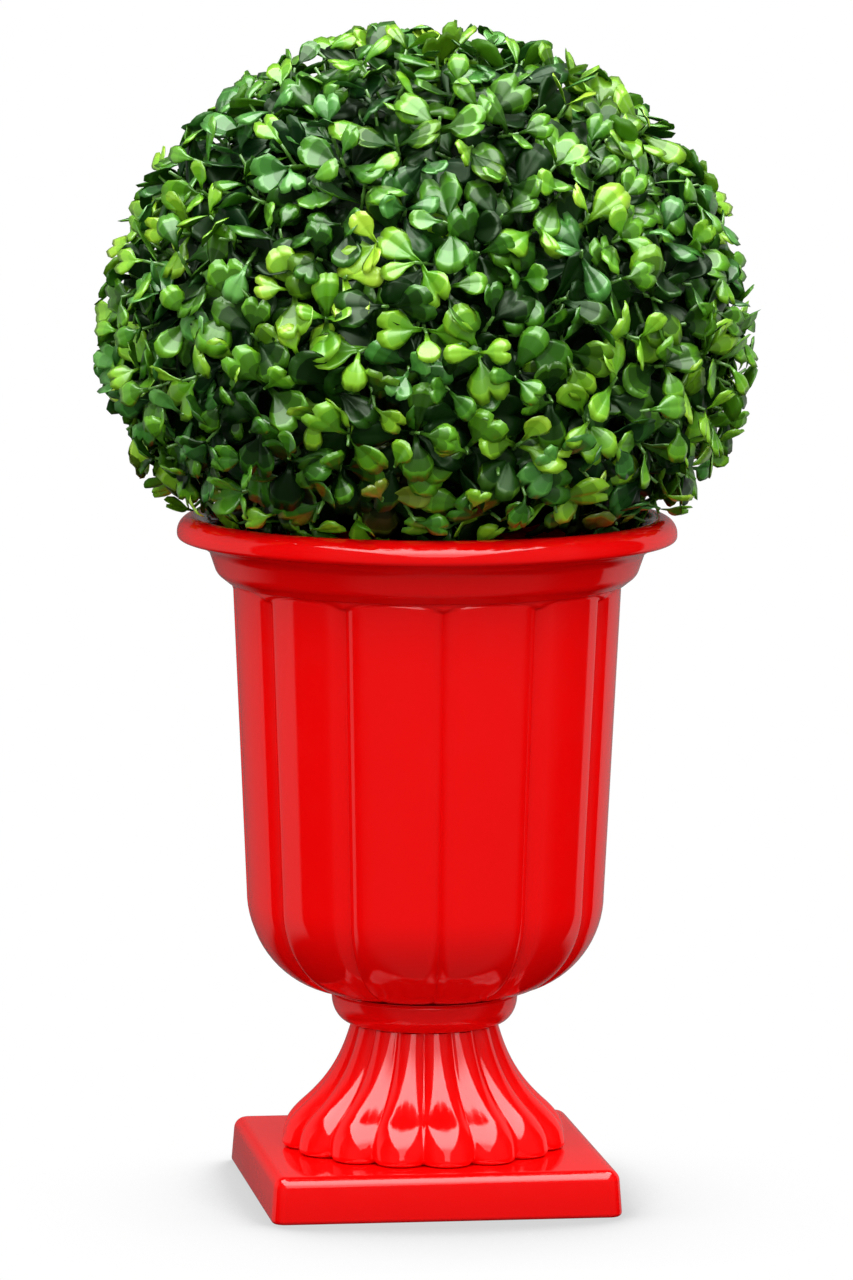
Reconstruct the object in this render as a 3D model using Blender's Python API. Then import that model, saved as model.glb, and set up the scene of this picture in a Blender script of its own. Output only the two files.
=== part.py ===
"""A clipped ball of artificial boxwood that stands in a fluted urn on a square plinth.

Metres, +Z up. The origin is the middle of the plinth's flat underside, and the plinth's
sides lie square to X and Y. A turn is measured round +Z from -Y towards +X, in degrees.
"""

import math
import random

import bmesh
import bpy
from mathutils import Matrix, Vector
from mathutils.bvhtree import BVHTree

CLEARANCE = 0.0003
MERGE_DISTANCE = 1e-6
ROUND_STEPS = 40

# The square plinth.
PLINTH_SIDE = 0.158
PLINTH_TOP_SIDE = 0.155
PLINTH_HEIGHT = 0.0197
PLINTH_CORNER_RADIUS = 0.005
PLINTH_EDGE_RADIUS = 0.0035
PLINTH_FOOT_RADIUS = 0.0012

# The foot: sixteen lobes that flare down from the neck and end as round bulbs.
FOOT_LOBES = 16
FOOT_TURN = -8.4
FOOT_TOP = 0.0769
FOOT_TOP_RADIUS = 0.0334
FOOT_SHOULDER = 0.0360
FOOT_SHOULDER_RADIUS = 0.0612
FOOT_BASE_RADIUS = 0.0653
FOOT_CONE_SPREAD = 0.0130
FOOT_FLARE_POWER = 3.5
FOOT_BULB_POWER = 1.6
FOOT_GROOVE_TOP = 0.0020
FOOT_GROOVE_BASE = 0.0034
FOOT_SKIRT = 0.0010
FOOT_TURN_STEPS = 6
FOOT_FLARE_STEPS = 5

# The neck ring between foot and bowl: a bead that is widest at its top.
RING_TOP = 0.0908
RING_SHOULDER = 0.0892
RING_RADIUS = 0.0420
RING_FOOT_RADIUS = 0.0325
RING_EDGE = 0.0012

# The bowl: twelve convex panels, a collar and a rolled rim.
BOWL_PANELS = 12
BOWL_TURN = -3.5
BOWL_BOTTOM = 0.0912
BOWL_CORNER_RADIUS = 0.0450
BOWL_CORNER_CENTRE = 0.0360
BOWL_SHOULDER = 0.2690
BOWL_SHOULDER_RADIUS = 0.0873
BOWL_RECESS = 0.2772
BOWL_RECESS_RADIUS = 0.0850
PANEL_BULGE = 0.0010
PANEL_GROOVE = 0.0020
PANEL_GROOVE_START = 0.70
PANEL_TURN_STEPS = 6
BOWL_WALL = 0.0050

COLLAR_TOP = 0.2912
COLLAR_RADIUS = 0.0963
COLLAR_BOTTOM_RADIUS = 0.0885
RIM_HEIGHT = 0.3018
RIM_CENTRE_RADIUS = 0.1058
RIM_TUBE_RADIUS = 0.0066

# The filling and the short stem that carries the ball.
FILL_TOP = 0.2780
FILL_CROWN = 0.0060
STEM_RADIUS = 0.0095
STEM_TIP_RADIUS = 0.0080
STEM_FLARE = 0.0035
STEM_TOP = 0.3500
STEM_SIDES = 12

# The ball. Its lower half is flatter than its upper half, as it is drawn in to the rim.
BALL_CENTRE = 0.3840
BALL_RADIUS = 0.1510
BALL_RISE = 0.1465
BALL_DROP = 0.1200
CORE_DEPTH = 0.0230
CORE_LUMPS = 0.0030

# The sprays: a twig out of the core with crossed pairs of leaves and a leaf at its tip.
SEED = 11
SPRAYS = 115
LOWEST_SPRAY = -0.62
SPRAY_TILT = 12.0
TWIG_RADIUS = 0.0015
TWIG_TIP_RADIUS = 0.0012
TWIG_ROOT_DEPTH = 0.0060
PAIR_HEIGHTS = (0.24, 0.44)
PAIR_OPENINGS = (72.0, 60.0)
OPENING_PLAY = 10.0
TIP_HEIGHT = 0.50
TIP_OPENING = 24.0
TIP_SIZE = 0.56
LEAF_LENGTH = 0.0300
LEAF_WIDTH = 0.0215
LEAF_THICKNESS = 0.0014
LEAF_SHRINK = 0.25
LEAF_SWING = 0.35
LEAF_WIDEST = 0.62
LEAF_FOLD = 0.0016
LEAF_ROOT_DEPTH = 0.0020
LEAF_ROOT_OFFSET = 0.0003
LEAF_TRIES = 12
LEAF_GUARD = 0.0026
LEAF_ROOM = 0.0008


def clear_scene():
    for item in list(bpy.data.objects):
        bpy.data.objects.remove(item, do_unlink=True)


def finish(name, colour, roughness):
    """A plain material for one sub-part."""
    material = bpy.data.materials.new(name)
    material.use_nodes = True
    shader = material.node_tree.nodes["Principled BSDF"]
    shader.inputs["Base Color"].default_value = (*colour, 1.0)
    shader.inputs["Roughness"].default_value = roughness
    shader.inputs["Metallic"].default_value = 0.0
    return material


def place(name, shape, material, sharp_angle=40.0):
    """Turns a finished bmesh into the object of that name."""
    bmesh.ops.recalc_face_normals(shape, faces=shape.faces)
    mesh = bpy.data.meshes.new(name)
    shape.to_mesh(mesh)
    shape.free()
    mesh.materials.append(material)
    mesh.shade_smooth()
    mesh.set_sharp_from_angle(angle=math.radians(sharp_angle))
    item = bpy.data.objects.new(name, mesh)
    bpy.context.scene.collection.objects.link(item)
    return item


def arc(centre_radius, centre_height, radius, start, end, steps):
    """Points of a round stretch of a profile, from one angle to another, both included."""
    angles = [math.radians(start + (end - start) * step / steps) for step in range(steps + 1)]
    return [
        (centre_radius + radius * math.cos(angle), centre_height + radius * math.sin(angle))
        for angle in angles
    ]


def turned(profile, segments):
    """Spins a profile of (radius, height) points a full turn round +Z."""
    shape = bmesh.new()
    points = [shape.verts.new((radius, 0.0, height)) for radius, height in profile]
    edges = [shape.edges.new(pair) for pair in zip(points, points[1:])]
    bmesh.ops.spin(
        shape,
        geom=points + edges,
        cent=(0.0, 0.0, 0.0),
        axis=(0.0, 0.0, 1.0),
        angle=2.0 * math.pi,
        steps=segments,
        use_merge=True,
    )
    bmesh.ops.remove_doubles(shape, verts=shape.verts, dist=MERGE_DISTANCE)
    return shape


def flute(shape, count, turn, relief):
    """Presses lobes into a turned shape, then turns its first groove to its place.

    relief(across, radius, height) gives how far a point sinks, where across runs from -1 in
    one groove over 0 on the lobe's crown to 1 in the next groove.
    """
    lobe_angle = 2.0 * math.pi / count
    for vertex in shape.verts:
        radius = vertex.co.xy.length
        if radius < MERGE_DISTANCE:
            continue
        angle = math.atan2(vertex.co.y, vertex.co.x) % (2.0 * math.pi)
        lobe = math.floor(angle / lobe_angle + MERGE_DISTANCE)
        across = 2.0 * (angle / lobe_angle - lobe) - 1.0
        across = math.sin(0.5 * math.pi * across)
        angle = lobe_angle * (lobe + 0.5 + 0.5 * across)
        radius -= relief(across, radius, vertex.co.z)
        vertex.co.x = radius * math.cos(angle)
        vertex.co.y = radius * math.sin(angle)
    spin_to_turn = Matrix.Rotation(math.radians(turn - 90.0), 3, "Z")
    bmesh.ops.rotate(shape, cent=(0.0, 0.0, 0.0), matrix=spin_to_turn, verts=shape.verts)


def make_plinth(material):
    """A square slab with drafted sides, round corners and a rolled top edge."""
    shape = bmesh.new()
    bmesh.ops.create_cube(shape, size=1.0)
    for vertex in shape.verts:
        side = PLINTH_TOP_SIDE if vertex.co.z > 0.0 else PLINTH_SIDE
        vertex.co.x *= side
        vertex.co.y *= side
        vertex.co.z = PLINTH_HEIGHT if vertex.co.z > 0.0 else 0.0
    corners = [edge for edge in shape.edges if abs(edge.verts[0].co.z - edge.verts[1].co.z) > CLEARANCE]
    bmesh.ops.bevel(
        shape,
        geom=corners,
        offset=PLINTH_CORNER_RADIUS,
        offset_type="OFFSET",
        affect="EDGES",
        segments=4,
        profile=0.5,
        material=-1,
    )
    for height, radius, segments in (
        (PLINTH_HEIGHT, PLINTH_EDGE_RADIUS, 3),
        (0.0, PLINTH_FOOT_RADIUS, 2),
    ):
        edges = [
            edge for edge in shape.edges
            if all(abs(vertex.co.z - height) < MERGE_DISTANCE for vertex in edge.verts)
        ]
        bmesh.ops.bevel(
            shape,
            geom=edges,
            offset=radius,
            offset_type="OFFSET",
            affect="EDGES",
            segments=segments,
            profile=0.5,
            material=-1,
        )
    return place("urn_plinth", shape, material)


def foot_radius(height):
    """The lobes' crown line: a cone that flares out to the shoulder, and a bulb below it."""
    if height > FOOT_SHOULDER:
        fall = (FOOT_TOP - height) / (FOOT_TOP - FOOT_SHOULDER)
        flare = FOOT_SHOULDER_RADIUS - FOOT_TOP_RADIUS - FOOT_CONE_SPREAD
        return FOOT_TOP_RADIUS + FOOT_CONE_SPREAD * fall + flare * fall ** FOOT_FLARE_POWER
    rise = (height - PLINTH_HEIGHT) / (FOOT_SHOULDER - PLINTH_HEIGHT)
    spread = FOOT_BASE_RADIUS - FOOT_SHOULDER_RADIUS
    return FOOT_SHOULDER_RADIUS + spread * (1.0 - max(rise, 0.0) ** FOOT_BULB_POWER)


def foot_relief(across, radius, height):
    fall = (FOOT_TOP - height) / (FOOT_TOP - PLINTH_HEIGHT)
    groove = FOOT_GROOVE_TOP + (FOOT_GROOVE_BASE - FOOT_GROOVE_TOP) * fall
    return groove * (1.0 - math.sqrt(max(1.0 - across * across, 0.0)))


def make_foot(material):
    """The fluted foot, from the plinth up to the neck ring."""
    bottom = PLINTH_HEIGHT + CLEARANCE
    top = FOOT_TOP - CLEARANCE
    skirt = bottom + FOOT_SKIRT
    flare = [top + (FOOT_SHOULDER - top) * step / FOOT_FLARE_STEPS for step in range(FOOT_FLARE_STEPS + 1)]
    bulb_height = 0.5 * (skirt + FOOT_SHOULDER)
    profile = [(0.0, top)]
    profile += [(foot_radius(height), height) for height in (*flare, bulb_height, skirt)]
    profile += [(FOOT_BASE_RADIUS - FOOT_SKIRT, bottom), (0.0, bottom)]
    shape = turned(profile, FOOT_LOBES * FOOT_TURN_STEPS)
    flute(shape, FOOT_LOBES, FOOT_TURN, foot_relief)
    return place("urn_foot", shape, material)


def make_neck_ring(material):
    """The bead between foot and bowl, an upturned quarter of an ellipse."""
    drop = RING_SHOULDER - FOOT_TOP
    reach = RING_RADIUS - RING_FOOT_RADIUS
    bead = [
        (RING_FOOT_RADIUS + reach * x, RING_SHOULDER + drop * y)
        for x, y in arc(0.0, 0.0, 1.0, 0.0, -90.0, 4)
    ]
    profile = [(0.0, RING_TOP), (RING_RADIUS - RING_EDGE, RING_TOP), *bead, (0.0, FOOT_TOP)]
    return place("urn_neck_ring", turned(profile, ROUND_STEPS), material)


def bowl_side_radius(height):
    """The outer radius of the bowl's nearly straight side."""
    low = BOWL_BOTTOM + BOWL_CORNER_RADIUS
    low_radius = BOWL_CORNER_CENTRE + BOWL_CORNER_RADIUS
    share = (height - low) / (BOWL_SHOULDER - low)
    return low_radius + (BOWL_SHOULDER_RADIUS - low_radius) * share


def bowl_relief(across, radius, height):
    """Convex panels that die out under the collar; the inside, collar and rim stay round."""
    corner_height = BOWL_BOTTOM + BOWL_CORNER_RADIUS
    corner_fall = max(corner_height - height, 0.0)
    reach = math.sqrt(max(BOWL_CORNER_RADIUS ** 2 - corner_fall ** 2, 0.0))
    skin = BOWL_CORNER_CENTRE + reach if corner_fall else bowl_side_radius(height)
    if height > BOWL_SHOULDER + MERGE_DISTANCE or radius < skin - 0.5 * BOWL_WALL:
        return 0.0
    edge = max(abs(across) - PANEL_GROOVE_START, 0.0) / (1.0 - PANEL_GROOVE_START)
    return PANEL_BULGE * across * across + PANEL_GROOVE * edge


def make_bowl(material):
    """The hollow bowl as one closed wall: outside, collar, rolled rim and inside."""
    corner = BOWL_BOTTOM + BOWL_CORNER_RADIUS
    outside = [(0.0, BOWL_BOTTOM)]
    outside += arc(BOWL_CORNER_CENTRE, corner, BOWL_CORNER_RADIUS, -90.0, 0.0, 5)
    outside += [
        (BOWL_SHOULDER_RADIUS, BOWL_SHOULDER),
        (BOWL_RECESS_RADIUS, BOWL_RECESS),
        (COLLAR_BOTTOM_RADIUS, BOWL_RECESS),
    ]
    collar_reach = COLLAR_RADIUS - COLLAR_BOTTOM_RADIUS
    outside += [
        (COLLAR_BOTTOM_RADIUS + collar_reach * x, COLLAR_TOP + (COLLAR_TOP - BOWL_RECESS) * y)
        for x, y in arc(0.0, 0.0, 1.0, -66.0, 0.0, 3)
    ]
    rim = arc(RIM_CENTRE_RADIUS, RIM_HEIGHT, RIM_TUBE_RADIUS, -100.0, 188.0, 9)
    inner_corner = BOWL_CORNER_RADIUS - BOWL_WALL
    inside = [
        (COLLAR_RADIUS - BOWL_WALL, COLLAR_TOP),
        (BOWL_RECESS_RADIUS - BOWL_WALL, BOWL_RECESS - BOWL_WALL),
    ]
    inside += arc(BOWL_CORNER_CENTRE, corner, inner_corner, 0.0, -90.0, 3)
    inside += [(0.0, BOWL_BOTTOM + BOWL_WALL)]
    shape = turned(outside + rim + inside, BOWL_PANELS * PANEL_TURN_STEPS)
    flute(shape, BOWL_PANELS, BOWL_TURN, bowl_relief)
    return place("urn_bowl", shape, material)


def make_filling(material):
    """The plug that fills the bowl up to below its collar, with a slightly domed top."""
    corner = BOWL_BOTTOM + BOWL_CORNER_RADIUS
    floor = BOWL_BOTTOM + BOWL_WALL + CLEARANCE
    corner_radius = BOWL_CORNER_RADIUS - BOWL_WALL - CLEARANCE
    wall_top = BOWL_RECESS_RADIUS - BOWL_WALL - 2.0 * CLEARANCE
    profile = [(0.0, FILL_TOP), (0.5 * wall_top, FILL_TOP - 0.25 * FILL_CROWN)]
    profile += [(wall_top, FILL_TOP - FILL_CROWN - BOWL_WALL)]
    profile += arc(BOWL_CORNER_CENTRE, corner, corner_radius, 0.0, -90.0, 3)
    profile += [(0.0, floor)]
    return place("pot_filling", turned(profile, ROUND_STEPS), material)


def stem_profile(gap):
    """The stem's outline, grown by gap, from the filling to its tip."""
    length = STEM_TOP - FILL_TOP
    points = []
    for share in (0.0, 0.1, 0.3, 1.0):
        flare = STEM_FLARE * (1.0 - min(share / 0.3, 1.0)) ** 2
        radius = STEM_RADIUS + (STEM_TIP_RADIUS - STEM_RADIUS) * share + flare
        points.append((radius + gap, FILL_TOP + CLEARANCE + length * share + gap * share))
    top = points[-1][1]
    return [(0.0, FILL_TOP + CLEARANCE), *points, (0.0, top)]


def make_stem(material):
    """The short stem between the filling and the inside of the ball."""
    return place("stem", turned(stem_profile(0.0), STEM_SIDES), material)


def ball_reach(direction):
    """The distance from the ball's centre to its clipped outline in a direction."""
    height = BALL_RISE if direction.z > 0.0 else BALL_DROP
    across = direction.xy.length_squared / BALL_RADIUS ** 2
    return 1.0 / math.sqrt(across + direction.z ** 2 / height ** 2)


def outside_ball(point):
    """True where a point lies past the ball's clipped outline."""
    offset = point - Vector((0.0, 0.0, BALL_CENTRE))
    return offset.length > ball_reach(offset.normalized())


def clear_of_urn(point):
    """True where a point has room over the rim or well inside it."""
    radius = point.xy.length
    to_rim = math.hypot(radius - RIM_CENTRE_RADIUS, point.z - RIM_HEIGHT)
    if to_rim < RIM_TUBE_RADIUS + LEAF_ROOM:
        return False
    if point.z > RIM_HEIGHT + RIM_TUBE_RADIUS:
        return True
    return radius < RIM_CENTRE_RADIUS and (point.z > COLLAR_TOP or radius < BOWL_RECESS_RADIUS - BOWL_WALL)


def leaf_points(thickness=LEAF_THICKNESS):
    """The six corners of a folded leaf along +X, its upper face towards +Z."""
    half = 0.5 * LEAF_WIDTH
    middle = LEAF_WIDEST * LEAF_LENGTH
    return [
        Vector((0.0, 0.0, 0.0)),
        Vector((middle, half, LEAF_FOLD)),
        Vector((LEAF_LENGTH, 0.0, 0.0)),
        Vector((middle, -half, LEAF_FOLD)),
        Vector((0.9 * middle, 0.0, 0.5 * thickness)),
        Vector((0.9 * middle, 0.0, -0.5 * thickness)),
    ]


def leaf_faces():
    """Eight faces: each edge of the outline joined to the upper and to the lower middle."""
    outline = (0, 1, 2, 3)
    upper, lower = 4, 5
    faces = []
    for first, second in zip(outline, outline[1:] + outline[:1]):
        faces += [(second, first, upper), (first, second, lower)]
    return faces


def leaf_mesh():
    """A closed leaf of eight faces."""
    shape = bmesh.new()
    corners = [shape.verts.new(point) for point in leaf_points()]
    for face in leaf_faces():
        shape.faces.new([corners[index] for index in face])
    bmesh.ops.recalc_face_normals(shape, faces=shape.faces)
    mesh = bpy.data.meshes.new("leaf")
    shape.to_mesh(mesh)
    shape.free()
    return mesh


def twig_mesh():
    """A three-sided twig of unit length along +X that tapers to its tip."""
    shape = bmesh.new()
    bmesh.ops.create_cone(
        shape,
        cap_ends=True,
        segments=3,
        radius1=TWIG_RADIUS,
        radius2=TWIG_TIP_RADIUS,
        depth=1.0,
        matrix=Matrix.Rotation(math.radians(90.0), 4, "Y") @ Matrix.Translation((0.0, 0.0, 0.5)),
    )
    mesh = bpy.data.meshes.new("twig")
    shape.to_mesh(mesh)
    shape.free()
    return mesh


def frame_along(origin, along, upper):
    """A placement whose X runs along a direction and whose Z leans to the upper side."""
    x_axis = along.normalized()
    y_axis = upper.cross(x_axis).normalized()
    z_axis = x_axis.cross(y_axis)
    turn = Matrix((x_axis, y_axis, z_axis)).transposed().to_4x4()
    return Matrix.Translation(origin) @ turn


def opened(axis, side, degrees):
    """A direction that opens from the twig's axis towards one side."""
    angle = math.radians(degrees)
    return math.cos(angle) * axis + math.sin(angle) * side


def turned_side(axis, rng):
    """A direction square to an axis, at any turn round it."""
    side = axis.orthogonal().normalized()
    side.rotate(Matrix.Rotation(rng.uniform(0.0, 2.0 * math.pi), 3, axis))
    return side


def leaf_has_room(placement, others):
    """True where a leaf keeps to the ball and clear of the urn and of the solids in a search tree."""
    corners = [placement @ point for point in leaf_points(LEAF_GUARD)]
    outline = corners[:4] + corners[:1]
    for start, end in zip(outline, outline[1:]):
        for step in range(4):
            point = start.lerp(end, step / 4.0)
            if outside_ball(point) or not clear_of_urn(point):
                return False
    return not BVHTree.FromPolygons(corners, leaf_faces()).overlap(others)


def spray(direction, rng):
    """One spray on the ball: its twig's placement and, for each leaf, (root, axis, side, opening, size)."""
    centre = Vector((0.0, 0.0, BALL_CENTRE))
    axis = opened(direction, turned_side(direction, rng), rng.uniform(0.0, SPRAY_TILT))
    foot = centre + direction * (ball_reach(direction) - CORE_DEPTH - TWIG_ROOT_DEPTH)
    side = turned_side(axis, rng)
    length = TWIG_ROOT_DEPTH + TIP_HEIGHT * CORE_DEPTH
    twig = frame_along(foot, axis, side) @ Matrix.Diagonal((length, 1.0, 1.0, 1.0))
    leaves = []
    for height, opening, out in zip(PAIR_HEIGHTS, PAIR_OPENINGS, (side, axis.cross(side))):
        root = foot + axis * (TWIG_ROOT_DEPTH + height * CORE_DEPTH)
        for sign in (1.0, -1.0):
            leaves.append((root, axis, sign * out, opening, 1.0))
    root = foot + axis * (length - LEAF_ROOT_DEPTH)
    leaves.append((root, axis, side, TIP_OPENING, TIP_SIZE))
    return twig, leaves


def grow(spray_leaf, rng, others):
    """The placement of one leaf that has room, tried a few times, or None."""
    root, axis, side, opening, size = spray_leaf
    for _ in range(LEAF_TRIES):
        swing = axis.cross(side) * rng.uniform(-LEAF_SWING, LEAF_SWING)
        along = opened(axis, (side + swing).normalized(), opening + rng.uniform(-OPENING_PLAY, OPENING_PLAY))
        scale = size * (1.0 - rng.uniform(0.0, LEAF_SHRINK))
        placement = frame_along(root + along * LEAF_ROOT_OFFSET, along, axis) @ Matrix.Scale(scale, 4)
        if leaf_has_room(placement, others):
            return placement
    return None


def spray_directions():
    """Even directions over the ball, down to where the rim hides it."""
    golden_turn = math.pi * (3.0 - math.sqrt(5.0))
    for index in range(SPRAYS):
        height = 1.0 - 2.0 * (index + 0.5) / SPRAYS
        if height < LOWEST_SPRAY:
            return
        radius = math.sqrt(1.0 - height * height)
        angle = index * golden_turn
        yield Vector((radius * math.cos(angle), radius * math.sin(angle), height))


def grow_sprays(core, rng):
    """Placements of all twigs and leaves; each leaf keeps clear of the core and of the others."""
    points = [vertex.co.copy() for vertex in core.data.vertices]
    faces = [tuple(face.vertices) for face in core.data.polygons]
    twigs, leaves = [], []
    for direction in spray_directions():
        twig, spray_leaves = spray(direction, rng)
        grown = []
        for spray_leaf in spray_leaves:
            placement = grow(spray_leaf, rng, BVHTree.FromPolygons(points, faces))
            if placement is None:
                continue
            grown.append(placement)
            first = len(points)
            points += [placement @ point for point in leaf_points()]
            faces += [tuple(first + index for index in face) for face in leaf_faces()]
        if grown:
            twigs.append(twig)
            leaves += grown
    return twigs, leaves


def core_shape(rng):
    """The ball's solid core: its outline made smaller by the sprays' depth, and lumpy."""
    shape = bmesh.new()
    bmesh.ops.create_icosphere(shape, subdivisions=3, radius=1.0)
    for vertex in shape.verts:
        direction = vertex.co.normalized()
        lump = rng.uniform(-CORE_LUMPS, CORE_LUMPS)
        vertex.co = direction * (ball_reach(direction) - CORE_DEPTH + lump)
        vertex.co.z += BALL_CENTRE
    return shape


def linked(name, mesh, placement, collection):
    item = bpy.data.objects.new(name, mesh)
    item.matrix_world = placement
    collection.objects.link(item)
    return item


def apply_boolean(item, operation, solver, **operand):
    """Runs one Boolean on an object and keeps its result as the object's mesh."""
    modifier = item.modifiers.new("join", "BOOLEAN")
    modifier.operation = operation
    modifier.solver = solver
    for key, value in operand.items():
        setattr(modifier, key, value)
    bpy.context.view_layer.update()
    depsgraph = bpy.context.evaluated_depsgraph_get()
    mesh = bpy.data.meshes.new_from_object(item.evaluated_get(depsgraph))
    item.modifiers.remove(modifier)
    mesh.name = item.name
    item.data = mesh


def make_crown(material):
    """The clipped ball: sprays of leaves fused to a core that is bored for the stem."""
    rng = random.Random(SEED)
    crown = place("crown_leaves", core_shape(rng), material)
    twigs, leaves = grow_sprays(crown, rng)
    bore = place("bore", turned(stem_profile(CLEARANCE), STEM_SIDES), material)
    apply_boolean(crown, "DIFFERENCE", "EXACT", object=bore)
    bpy.data.objects.remove(bore, do_unlink=True)
    pieces = bpy.data.collections.new("sprays")
    bpy.context.scene.collection.children.link(pieces)
    for name, mesh, placements in (("twig", twig_mesh(), twigs), ("leaf", leaf_mesh(), leaves)):
        for placement in placements:
            linked(name, mesh, placement, pieces)
    apply_boolean(crown, "UNION", "MANIFOLD", operand_type="COLLECTION", collection=pieces)
    for item in list(pieces.objects):
        bpy.data.objects.remove(item, do_unlink=True)
    bpy.data.collections.remove(pieces)
    crown.data.shade_flat()
    return crown


def main():
    clear_scene()
    red_plastic = finish("urn_red_plastic", (0.87, 0.012, 0.010), 0.12)
    make_plinth(red_plastic)
    make_foot(red_plastic)
    make_neck_ring(red_plastic)
    make_bowl(red_plastic)
    make_filling(finish("filling", (0.030, 0.020, 0.012), 0.9))
    make_stem(finish("stem_bark", (0.090, 0.050, 0.028), 0.8))
    make_crown(finish("boxwood_leaves", (0.060, 0.190, 0.025), 0.35))


main()
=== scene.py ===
"""Dresses the boxwood ball and its fluted urn: glossy red plastic, twigs and moulded leaves.

Metres, +Z up. The origin is the middle of the plinth's flat underside. A turn is measured
round +Z from -Y towards +X, in degrees.
"""

import math
import random

import bmesh
import bpy
import numpy as np
from mathutils import Matrix, Vector
from mathutils.bvhtree import BVHTree


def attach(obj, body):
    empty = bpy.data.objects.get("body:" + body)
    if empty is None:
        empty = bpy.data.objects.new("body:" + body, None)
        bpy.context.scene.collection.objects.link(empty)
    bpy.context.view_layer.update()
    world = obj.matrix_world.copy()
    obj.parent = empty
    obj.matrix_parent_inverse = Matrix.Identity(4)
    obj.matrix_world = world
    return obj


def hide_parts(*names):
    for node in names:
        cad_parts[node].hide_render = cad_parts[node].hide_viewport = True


CLEARANCE = 0.0003
MERGE_DISTANCE = 1e-6
WAVE_STARTS = (0.0, 6.3)
BODY = "root"

# The square plinth.
PLINTH_SIDE = 0.158
PLINTH_TOP_SIDE = 0.155
PLINTH_HEIGHT = 0.0210
PLINTH_CORNER_RADIUS = 0.0065
PLINTH_EDGE_RADIUS = 0.0048
PLINTH_FOOT_RADIUS = 0.0020
PLINTH_CORNER_STEPS = 12
PLINTH_EDGE_STEPS = 10
PLINTH_FOOT_STEPS = 4
PLINTH_SHARP_ANGLE = 30.0

# The foot: sixteen lobes that flare down from the neck and end as round bulbs.
FOOT_LOBES = 16
FOOT_TURN = -8.4
FOOT_TOP = 0.0769
FOOT_TOP_RADIUS = 0.0334
FOOT_SHOULDER = 0.0342
FOOT_SHOULDER_RADIUS = 0.0622
FOOT_BASE_RADIUS = 0.0653
FOOT_CONE_SPREAD = 0.0121
FOOT_FLARE_POWER = 2.7
FOOT_BULB_POWER = 1.6
FOOT_GROOVE_TOP = 0.0022
FOOT_GROOVE_BASE = 0.0054
FOOT_VALLEY = 0.93
FOOT_TOE_HEIGHT = 0.0070
FOOT_TOE_DEPTH = 0.0030
FOOT_EASE = 0.0051
FOOT_EASE_STEPS = 12
FOOT_SKIRT = 0.0026
FOOT_SKIRT_START = -8.0
FOOT_TURN_STEPS = 24
FOOT_FLARE_STEPS = 44
FOOT_BULB_STEPS = 18
FOOT_SKIRT_STEPS = 8
FOOT_SHARP_ANGLE = 60.0

# The neck ring between foot and bowl.
RING_TOP = 0.0908
RING_SHOULDER = 0.0892
RING_RADIUS = 0.0420
RING_FOOT_RADIUS = 0.0325
RING_EDGE = 0.0012
RING_EDGE_STEPS = 6
RING_BEAD_STEPS = 24
RING_SEGMENTS = 192

# The bowl: twelve convex panels with arched tops.
BOWL_PANELS = 12
BOWL_TURN = -3.5
BOWL_BOTTOM = 0.0912
BOWL_CORNER_RADIUS = 0.0450
BOWL_CORNER_CENTRE = 0.0360
BOWL_SHOULDER = 0.2690
BOWL_SHOULDER_RADIUS = 0.0873
BOWL_RECESS = 0.2772
BOWL_MOUTH_RADIUS = 0.0800
PANEL_BULGE = 0.0010
PANEL_GROOVE = 0.0026
PANEL_GROOVE_START = 0.64
PANEL_ARCH_TOP = 0.2770
PANEL_ARCH_DROP = 0.0030
PANEL_ARCH_POWER = 2
PANEL_ARCH_GROOVE = 0.0008
PANEL_ARCH_ROLL = 0.0018
PANEL_TURN_STEPS = 32
PANEL_ARCH_STEPS = 34
BOWL_WALL = 0.0050
BOWL_CORNER_STEPS = 20
BOWL_SIDE_STEPS = 16
BOWL_INNER_STEPS = 8
URN_SHARP_ANGLE = 50.0

# The collar, a flared band with a round lower corner, and the rolled rim.
COLLAR_TOP = 0.2912
COLLAR_FLARE = 19.0
COLLAR_UNDERCUT = 52.0
COLLAR_CORNER_RADIUS = 0.0075
COLLAR_CORNER_CENTRE = 0.0882
COLLAR_CORNER_HEIGHT = 0.2859
COLLAR_INNER_RADIUS = 0.0913
COLLAR_UNDER_STEPS = 4
COLLAR_CORNER_STEPS = 8
COLLAR_SIDE_STEPS = 5
RIM_HEIGHT = 0.2998
RIM_CENTRE_RADIUS = 0.1049
RIM_TUBE_RADIUS = 0.0075
RIM_DROP = 0.0037
RIM_SQUARENESS = 3.4
RIM_ROLL_END = 188.0
RIM_LOW_STEPS = 18
RIM_ROLL_STEPS = 26
RIM_GAP = 0.0020

# The filling and the short stem that carries the ball.
FILL_TOP = 0.2780
FILL_CROWN = 0.0060
FILL_DOME_POWER = 3
FILL_RINGS = 26
FILL_CORNER_STEPS = 6
FILL_SEGMENTS = 96
FILL_LUMPS = 0.0016
STEM_RADIUS = 0.0095
STEM_TIP_RADIUS = 0.0080
STEM_FLARE = 0.0035
STEM_FLARE_SHARE = 0.3
STEM_TOP = 0.3500
STEM_SIDES = 72
STEM_RINGS = 60
BARK_RELIEF = 0.0008
BARK_WAVES = 7
BARK_WAVE_TURNS = (3, 14)
BARK_WAVE_RISES = (30.0, 220.0)

# The ball, flatter below, where it is drawn in to the rim.
BALL_CENTRE = 0.3840
BALL_RADIUS = 0.1510
BALL_RISE = 0.1465
BALL_DROP = 0.1200
CORE_DEPTH = 0.0330
CORE_LUMPS = 0.0090
CORE_WAVES = 12
CORE_WAVE_TURNS = 9.0
CORE_SUBDIVISIONS = 5

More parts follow.
